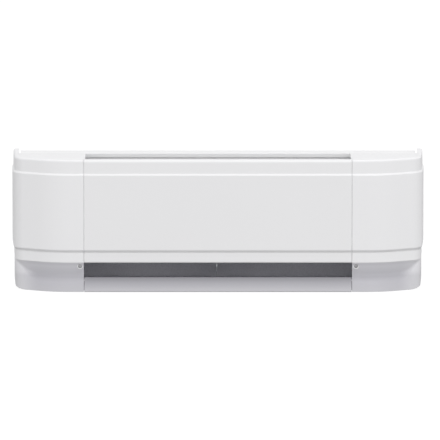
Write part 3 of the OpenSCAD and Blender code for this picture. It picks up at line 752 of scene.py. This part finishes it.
def fins():
    """The pressed fins, each with a collar on the tube and a faint ripple in its sheet."""
    lo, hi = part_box("element_fins")
    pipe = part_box("heating_tube")
    r = (pipe[1].z - pipe[0].z) / 2 / MM
    cz, cy = (pipe[0].z + pipe[1].z) / 2 / MM, (pipe[0].y + pipe[1].y) / 2 / MM
    w, h = (hi.y - lo.y) / 2 / MM, (hi.z - lo.z) / 2 / MM
    count = round((hi.x - lo.x) / MM / FIN_PITCH + 0.5)
    rings, n = FIN_RINGS, FIN_SIDES

    def ring_point(q, a, face):
        """(radius, shift along x) at angle a on ring q: 0 and 1 the collar, 2 its root, then the sheet."""
        if q < 2:
            return r + (0.3 if q and face else 0.02), COLLAR
        if q == 2:
            return r + 0.9, 0.0
        reach = min(w / max(1e-9, abs(math.cos(a))), h / max(1e-9, abs(math.sin(a))))
        g = (q - 2) / (rings - 1)
        return (r + 0.9) + (reach - r - 0.9) * g, 0.22 * math.sin(3 * math.pi * g) * (1 - 0.4 * g)

    verts, faces = [], []
    for i in range(count):
        x = (i - (count - 1) / 2) * FIN_PITCH
        for face in (0, 1):
            base = len(verts)
            for q in range(rings + 2):
                off = HALF_FIN if q and face else -HALF_FIN
                for k in range(n):
                    a = 2 * math.pi * (k + 0.5) / n
                    rad, dx = ring_point(q, a, face)
                    verts.append((x + dx + off, cy + rad * math.cos(a), cz + rad * math.sin(a)))
            for q in range(rings + 1):
                for k in range(n):
                    k2 = (k + 1) % n
                    quad = (base + q * n + k, base + q * n + k2,
                            base + (q + 1) * n + k2, base + (q + 1) * n + k)
                    faces.append(quad if face else quad[::-1])
        # the outer edge joins the two faces
        b0, b1, q = base - (rings + 2) * n, base, (rings + 1) * n
        for k in range(n):
            k2 = (k + 1) % n
            faces.append((b0 + q + k, b0 + q + k2, b1 + q + k2, b1 + q + k))
    return make_object("element_fins_pressed", verts, faces, M["fin_aluminium"], 40)


finish_piece(fins(), ["element_fins"], "chassis")


# ---------- wires ----------
def bezier(p, n=48):
    """n + 1 points along the cubic curve of the four control points p."""
    p = [np.array(q, float) for q in p]
    out = []
    for i in range(n + 1):
        t = i / n
        out.append((1 - t) ** 3 * p[0] + 3 * t * (1 - t) ** 2 * p[1] + 3 * t * t * (1 - t) * p[2]
                   + t ** 3 * p[3])
    return out


def tube(name, path, r, mat):
    """A round tube through the points (x, depth, z) with frames carried along the path."""
    sides = 20
    pts = [np.array([p[0], Y_FRONT + p[1], p[2]]) for p in path]
    verts, faces = [], []
    n = len(pts)
    u = None
    for i in range(n):
        t = pts[min(n - 1, i + 1)] - pts[max(0, i - 1)]
        t = t / np.linalg.norm(t)
        if u is None:
            u = np.cross(t, [0.11, 0.63, 0.41])
        u = u - t * float(u @ t)
        u = u / np.linalg.norm(u)
        w = np.cross(t, u)
        for k in range(sides):
            a = 2 * math.pi * k / sides
            verts.append(tuple(pts[i] + r * (math.cos(a) * u + math.sin(a) * w)))
    for i in range(n - 1):
        for k in range(sides):
            k2 = (k + 1) % sides
            faces.append((i * sides + k, i * sides + k2, (i + 1) * sides + k2, (i + 1) * sides + k))
    faces.append(tuple(range(sides)))
    faces.append(tuple((n - 1) * sides + k for k in range(sides)))
    return make_object(name, verts, faces, mat, 50)


# a node's path through (x, depth, z), its radius and its slot; straight runs have few points
CAPILLARY = [(252, 80, 146), (126, 80, 146), (0, 80, 146), (-132, 80, 146)]
CAPILLARY += bezier([(-264, 80, 146), (-292, 80, 146), (-296, 110, 128), (-296, 110, 82.1)])
RED = bezier([(270.7, 80, 105), (300, 80, 105), (306, 133, 26), (262, 133, 22)])
RED += [(131, 133, 22), (0, 133, 22), (-131, 133, 22)]
RED += bezier([(-262, 133, 22), (-300, 133, 22), (-316, 84, 78), (-316, 84, 48)])
WIRES = [
    ("limit_capillary_drawn", "limit_capillary", CAPILLARY, 0.98, "copper_tube"),
    ("element_lead_sleeved", "element_lead",
     bezier([(-270.7, 80, 105), (-286, 78, 101), (-287, 70, 67), (-287, 86.5, 67)]), 1.38, "lead_white"),
    ("black_wire_insulated", "black_wire",
     bezier([(-305, 86.5, 67), (-305, 72, 67), (-334, 84, 70), (-334, 84, 48)]), 1.38, "wire_black"),
    ("red_wire_insulated", "red_wire", RED, 1.38, "wire_red"),
    ("ground_wire_insulated", "ground_wire",
     bezier([(-337.5, 137.6, 94.5), (-337.5, 120, 94.5), (-341, 110, 60), (-342, 90, 30)]), 1.18,
     "wire_green"),
]
for name, node, path, radius, slot in WIRES:
    finish_piece(tube(name, path, radius, M[slot]), [node], "chassis")

# twist-on connectors, turned about a line along Z, as (radius, z); the points 1 to 4 are fluted
CONNECTOR = [(0.01, 30.0), (3.0, 30.0), (3.5, 30.5), (4.4, 36.0), (5.6, 47.5), (5.95, 49.5), (5.7, 50.0),
             (4.3, 50.0), (4.0, 49.8), (4.0, 48.0), (1.7, 47.6), (1.6, 42.2), (0.01, 42.0)]
CONNECTOR_D, CONNECTOR_SIDES, FLUTES = 84, 60, 12
v, f = [], []
for x in (-334, -316):
    f += turned_faces(len(v), len(CONNECTOR), CONNECTOR_SIDES)
    for k in range(CONNECTOR_SIDES):
        a = 2 * math.pi * k / CONNECTOR_SIDES
        for j, (rr, z) in enumerate(CONNECTOR):
            if 1 <= j <= 4:
                rr *= 1 - 0.05 * (0.5 + 0.5 * math.cos(FLUTES * a))
            v.append((x + rr * math.cos(a), Y_FRONT + CONNECTOR_D + rr * math.sin(a), z))
finish_piece(make_object("wire_connectors_fluted", v, f, M["connector_orange"], 40), ["wire_connectors"],
             "chassis")

# ---------- world, lights, camera ----------
world = bpy.data.worlds.new("studio")
SCN.world = world
world.use_nodes = True
wt = world.node_tree
wt.nodes.clear()
wn, wl = wt.nodes.new, wt.links.new
w_out, bg = wn("ShaderNodeOutputWorld"), wn("ShaderNodeBackground")
wl(bg.outputs["Background"], w_out.inputs["Surface"])
co = wn("ShaderNodeTexCoord")
xyz = wn("ShaderNodeSeparateXYZ")
wl(co.outputs["Generated"], xyz.inputs["Vector"])


def wmath(op, a, b=None, c=None):
    """A maths node on numbers or sockets."""
    q = wn("ShaderNodeMath")
    q.operation = op
    for i, val in enumerate((a, b, c)):
        if val is None:
            continue
        if isinstance(val, (int, float)):
            q.inputs[i].default_value = val
        else:
            wl(val, q.inputs[i])
    return q.outputs[0]


def wramp(value, lo, hi, a, b):
    """A smooth step from a at lo to b at hi."""
    r = wn("ShaderNodeMapRange")
    r.interpolation_type = "SMOOTHSTEP"
    r.inputs["From Min"].default_value, r.inputs["From Max"].default_value = lo, hi
    r.inputs["To Min"].default_value, r.inputs["To Max"].default_value = a, b
    wl(value, r.inputs["Value"])
    return r.outputs["Result"]


# the sky's level by direction, as (z, level), then a little more from the right and less from behind;
# straight behind the heater it is a plain white backdrop
SKY = [(-1.0, 0.28), (-0.3, 0.42), (-0.08, 0.85), (0.05, 1.28), (0.28, 1.28), (0.55, 0.94), (1.0, 0.98)]
SKY_RIGHT, SKY_REAR, BACKDROP = 0.02, 0.75, 1.02
BACKDROP_FROM, BACKDROP_FULL = 0.975, 0.985
ramp = wn("ShaderNodeValToRGB")
stops = ramp.color_ramp.elements
while len(stops) < len(SKY):
    stops.new(0.5)
for stop, (z, level) in zip(stops, SKY):
    stop.position = (z + 1) / 2
    stop.color = (level / 2, level / 2, level / 2, 1)
wl(wmath("MULTIPLY_ADD", xyz.outputs["Z"], 0.5, 0.5), ramp.inputs["Fac"])
sky = wmath("MULTIPLY", ramp.outputs["Color"], 2.0)
sky = wmath("MULTIPLY", sky, wmath("MULTIPLY_ADD", xyz.outputs["X"], SKY_RIGHT, 1.0))
sky = wmath("MULTIPLY", sky, wramp(xyz.outputs["Y"], -0.4, 0.5, 1.0, SKY_REAR))
behind = wramp(xyz.outputs["Y"], BACKDROP_FROM, BACKDROP_FULL, 0.0, 1.0)
front_part = wmath("MULTIPLY", sky, wmath("SUBTRACT", 1.0, behind))
sky = wmath("ADD", front_part, wmath("MULTIPLY", behind, BACKDROP))
wl(sky, bg.inputs["Strength"])
bg.inputs["Color"].default_value = (1.0, 0.998, 1.004, 1)


# one large soft light in front of the heater, above it and to the right
KEY_AT, KEY_SIZE, KEY_POWER = Vector((0.9, -2.7, 3.1)), (2.0, 1.4), 34.0
key_data = bpy.data.lights.new("key_soft", "AREA")
key_data.shape = "RECTANGLE"
key_data.size, key_data.size_y = KEY_SIZE
key_data.energy = KEY_POWER
key = bpy.data.objects.new("key_soft", key_data)
SCN.collection.objects.link(key)
key.location = KEY_AT
key.rotation_euler = ((CAD_LO + CAD_HI) / 2 - KEY_AT).to_track_quat("-Z", "Y").to_euler()

# a pale floor, bright enough to read as white; it lights and shades nothing on the heater, and its
# underside is clear so that the heater can be seen from below
FLOOR_HALF, FLOOR_Z, FLOOR_GLOW = 40000.0, -0.6, 0.92
floor_mat = node_mat("floor_pale", (0.15, 0.15, 0.15), 0.9, grain=40, grain_col=0.01, bump=0.0, blotch=2,
                     blotch_col=0.01, spec=0.1)
floor = make_object("floor", [(-FLOOR_HALF, -FLOOR_HALF, FLOOR_Z), (FLOOR_HALF, -FLOOR_HALF, FLOOR_Z),
                              (FLOOR_HALF, FLOOR_HALF, FLOOR_Z), (-FLOOR_HALF, FLOOR_HALF, FLOOR_Z)],
                    [(0, 1, 2, 3)], floor_mat)
ft = floor_mat.node_tree
top = next(n for n in ft.nodes if n.type == "BSDF_PRINCIPLED")
top.inputs["Emission Color"].default_value = (1, 1, 1, 1)
top.inputs["Emission Strength"].default_value = FLOOR_GLOW
surface = top.outputs["BSDF"].links[0].to_socket
underside, clear = ft.nodes.new("ShaderNodeNewGeometry"), ft.nodes.new("ShaderNodeBsdfTransparent")
either = ft.nodes.new("ShaderNodeMixShader")
ft.links.new(underside.outputs["Backfacing"], either.inputs[0])
ft.links.new(top.outputs["BSDF"], either.inputs[1])
ft.links.new(clear.outputs["BSDF"], either.inputs[2])
ft.links.new(either.outputs["Shader"], surface)
floor.visible_diffuse = floor.visible_glossy = floor.visible_transmission = floor.visible_shadow = False

# a long lens from far off, a little above the heater
ELEV, DIST = math.radians(8.0), 20.0
WIDTH = 2 * PANEL_X * MM * 1.6421  # what the frame takes in, against the front panel's length
AIM_X, AIM_HEIGHT = 0.0038, 0.541  # AIM_HEIGHT is a share of the heater's height
cam_data = bpy.data.cameras.new("camera")
cam = bpy.data.objects.new("camera", cam_data)
SCN.collection.objects.link(cam)
SCN.camera = cam
cam_data.sensor_width = 36.0
cam_data.lens = cam_data.sensor_width * DIST / WIDTH
cam_data.clip_start, cam_data.clip_end = 0.05, 200.0
aim = Vector((AIM_X, CAD_LO.y, CAD_LO.z + (CAD_HI.z - CAD_LO.z) * AIM_HEIGHT))
cam.location = aim + DIST * Vector((0, -math.cos(ELEV), math.sin(ELEV)))
cam.rotation_euler = (math.pi / 2 - ELEV, 0, 0)
SCN.view_settings.view_transform = "Standard"
SCN.view_settings.look = "None"
